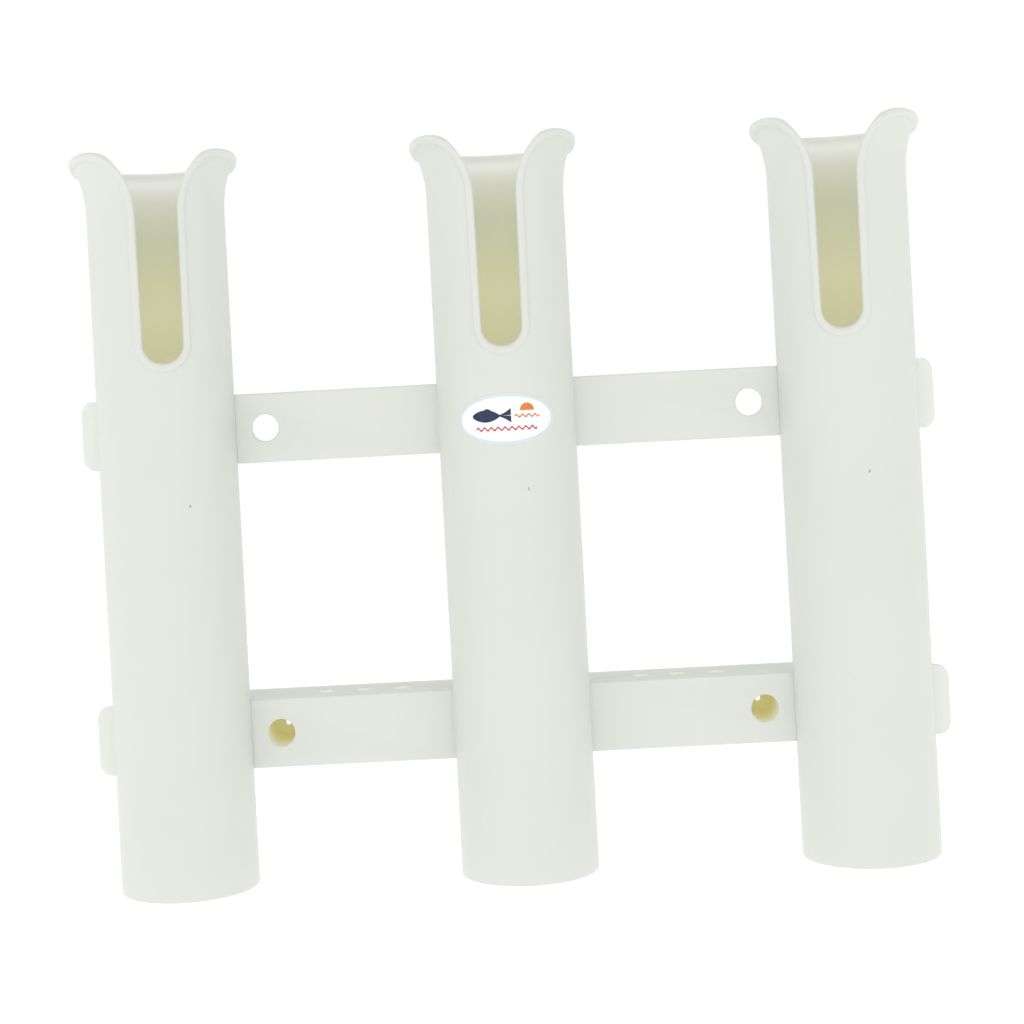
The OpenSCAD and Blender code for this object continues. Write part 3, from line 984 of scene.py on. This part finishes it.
# the bore, hole, hook hole and tab materials carry painted light and shade and painted glows
painted_bore_plastic = moulded_plastic("painted_bore_plastic", bore_light_and_shade())
hole_plastic = moulded_plastic("hole_plastic", hole_light_and_shade())
painted_hook_plastic = moulded_plastic("hook_hole_plastic", hook_hole_glow())
painted_tab_plastic = moulded_plastic("painted_tab_plastic", thin=(TAB_PAINTED_TINT, TAB_PAINTED_GLOW))

for side, x in TUBES.items():
    obj = make_tube("tube_" + side, x)
    obj.data.materials.append(outer_plastic)
    obj.data.materials.append(painted_bore_plastic)
    for face in obj.data.polygons:
        face.material_index = 1 if is_bore(x, face.center, face.normal) else 0
    piece(obj, "white_plastic", side + "_tube")

scar_painted_shade = gate_painted_shade()
for lean, (side, x) in zip((0.05, -0.18, 0.35), TUBES.items()):
    scar = make_gate("gate_scar_" + side, x, lean)
    scar.data.materials.append(scar_painted_shade)
    piece(scar, "white_plastic")

for node, ribs, seated, hooks in (("upper_rail", UPPER_RIBS, False, []),
                                  ("lower_rail", LOWER_RIBS, True, LOWER_HOOKS)):
    obj = make_rail(node + "_moulding", ribs, seated, hooks)
    obj.data.transform(Matrix.Translation((0, 0, RAIL_Z[node] * MM)))
    obj.data.materials.clear()
    for plastic in (outer_plastic, hole_plastic, painted_hook_plastic, painted_tab_plastic):
        obj.data.materials.append(plastic)
    for face in obj.data.polygons:
        face.material_index = rail_part(face, RAIL_Z[node])
    piece(obj, "white_plastic", node)

steel_mat = steel()
screw = screw_mesh()
for level, z in (("upper", RAIL_Z["upper_rail"]), ("lower", RAIL_Z["lower_rail"])):
    for side, x in TUBES.items():
        obj = screw_pair(f"screws_{side}_{level}", screw, x, z)
        obj.data.materials.clear()
        obj.data.materials.append(steel_mat)
        piece(obj, "stainless_steel", f"{side}_{level}_screws")

label = make_label()
for args in (("film_white", (0.93, 0.95, 0.95, 1), (0.96, 0.97, 0.975, 1), 0.14, 0.22),
             ("film_border", (0.69, 0.78, 0.775, 1), (0.72, 0.81, 0.80, 1), 0.10, 0.18),
             ("ink_navy", (0.008, 0.022, 0.075, 1), (0.014, 0.035, 0.10, 1), 0.2, 0.3),
             ("ink_orange", (0.78, 0.20, 0.02, 1), (0.84, 0.26, 0.04, 1), 0.2, 0.3),
             ("ink_red", (0.62, 0.04, 0.09, 1), (0.70, 0.06, 0.12, 1), 0.2, 0.3)):
    label.data.materials.append(film(*args))
piece(label, "label_film", "label")


# ------------------------------------------------------------------ stage, light and camera

FLOOR_HALF = 6000.0
FLOOR_DROP = 600.0           # the floor lies this far below the tubes' feet


def make_stage():
    """A pale floor far below."""
    half, low = FLOOR_HALF, FOOT_Z - FLOOR_DROP
    corners = [(-half, -half, low), (half, -half, low), (half, half, low), (-half, half, low)]
    mesh = bpy.data.meshes.new("floor")
    mesh.from_pydata([Vector(p) * MM for p in corners], [], [(0, 1, 2, 3)])
    floor = link("floor", mesh)
    mat = bpy.data.materials.new("pale_floor")
    mat.use_nodes = True
    bsdf = mat.node_tree.nodes["Principled BSDF"]
    bsdf.inputs["Base Color"].default_value = (0.95, 0.95, 0.95, 1)
    bsdf.inputs["Roughness"].default_value = 0.9
    bsdf.inputs["Emission Color"].default_value = (1, 1, 1, 1)
    bsdf.inputs["Emission Strength"].default_value = 0.25
    floor.data.materials.append(mat)


def make_light():
    """Soft light from all round, as in a light tent: stronger from the front and the left,
    weaker from above and behind. The camera sees plain white past the floor."""
    world = bpy.data.worlds.new("studio")
    bpy.context.scene.world = world
    world.use_nodes = True
    nodes, links = world.node_tree.nodes, world.node_tree.links

    def vector_math(operation, vector, other=None):
        node = nodes.new("ShaderNodeVectorMath")
        node.operation = operation
        links.new(vector, node.inputs[0])
        if other is not None:
            node.inputs[1].default_value = other
        return node.outputs

    def math_node(operation, first, second):
        node = nodes.new("ShaderNodeMath")
        node.operation = operation
        links.new(first, node.inputs[0])
        if isinstance(second, float):
            node.inputs[1].default_value = second
        else:
            links.new(second, node.inputs[1])
        return node.outputs[0]

    direction = nodes.new("ShaderNodeTexCoord").outputs["Generated"]
    tilt = vector_math("DOT_PRODUCT", direction, (-0.05, -0.10, -0.17))["Value"]
    away = vector_math("ABSOLUTE", direction)["Vector"]
    sides = vector_math("DOT_PRODUCT", away, (0.10, 0.0, 0.0))["Value"]
    level = math_node("ADD", math_node("ADD", tilt, 0.985), sides)
    seen = nodes.new("ShaderNodeLightPath").outputs["Is Camera Ray"]
    back = nodes["Background"]
    back.inputs["Color"].default_value = (1, 1, 1, 1)
    links.new(math_node("MAXIMUM", level, seen), back.inputs["Strength"])


def make_camera():
    """A little above the upper rail's middle, rolled so that the rack leans to the left."""
    turn, roll = math.radians(-0.97), math.radians(3.065)
    place = Matrix.Translation(Vector((4.4, -742.3, 67.3)) * MM)
    level = Matrix.Rotation(-turn, 4, "Z") @ Matrix.Rotation(math.pi / 2, 4, "X")
    cam = bpy.data.cameras.new("camera")
    cam.sensor_width = 36
    cam.lens = 71.2
    cam.shift_x = 0.0286
    cam.shift_y = -0.1235
    cam.clip_start = 0.05
    cam.clip_end = 50
    obj = link("camera", cam)
    obj.matrix_world = place @ level @ Matrix.Rotation(-roll, 4, "Z")
    bpy.context.scene.camera = obj


make_stage()
make_light()
make_camera()
bpy.context.scene.view_settings.view_transform = "Standard"
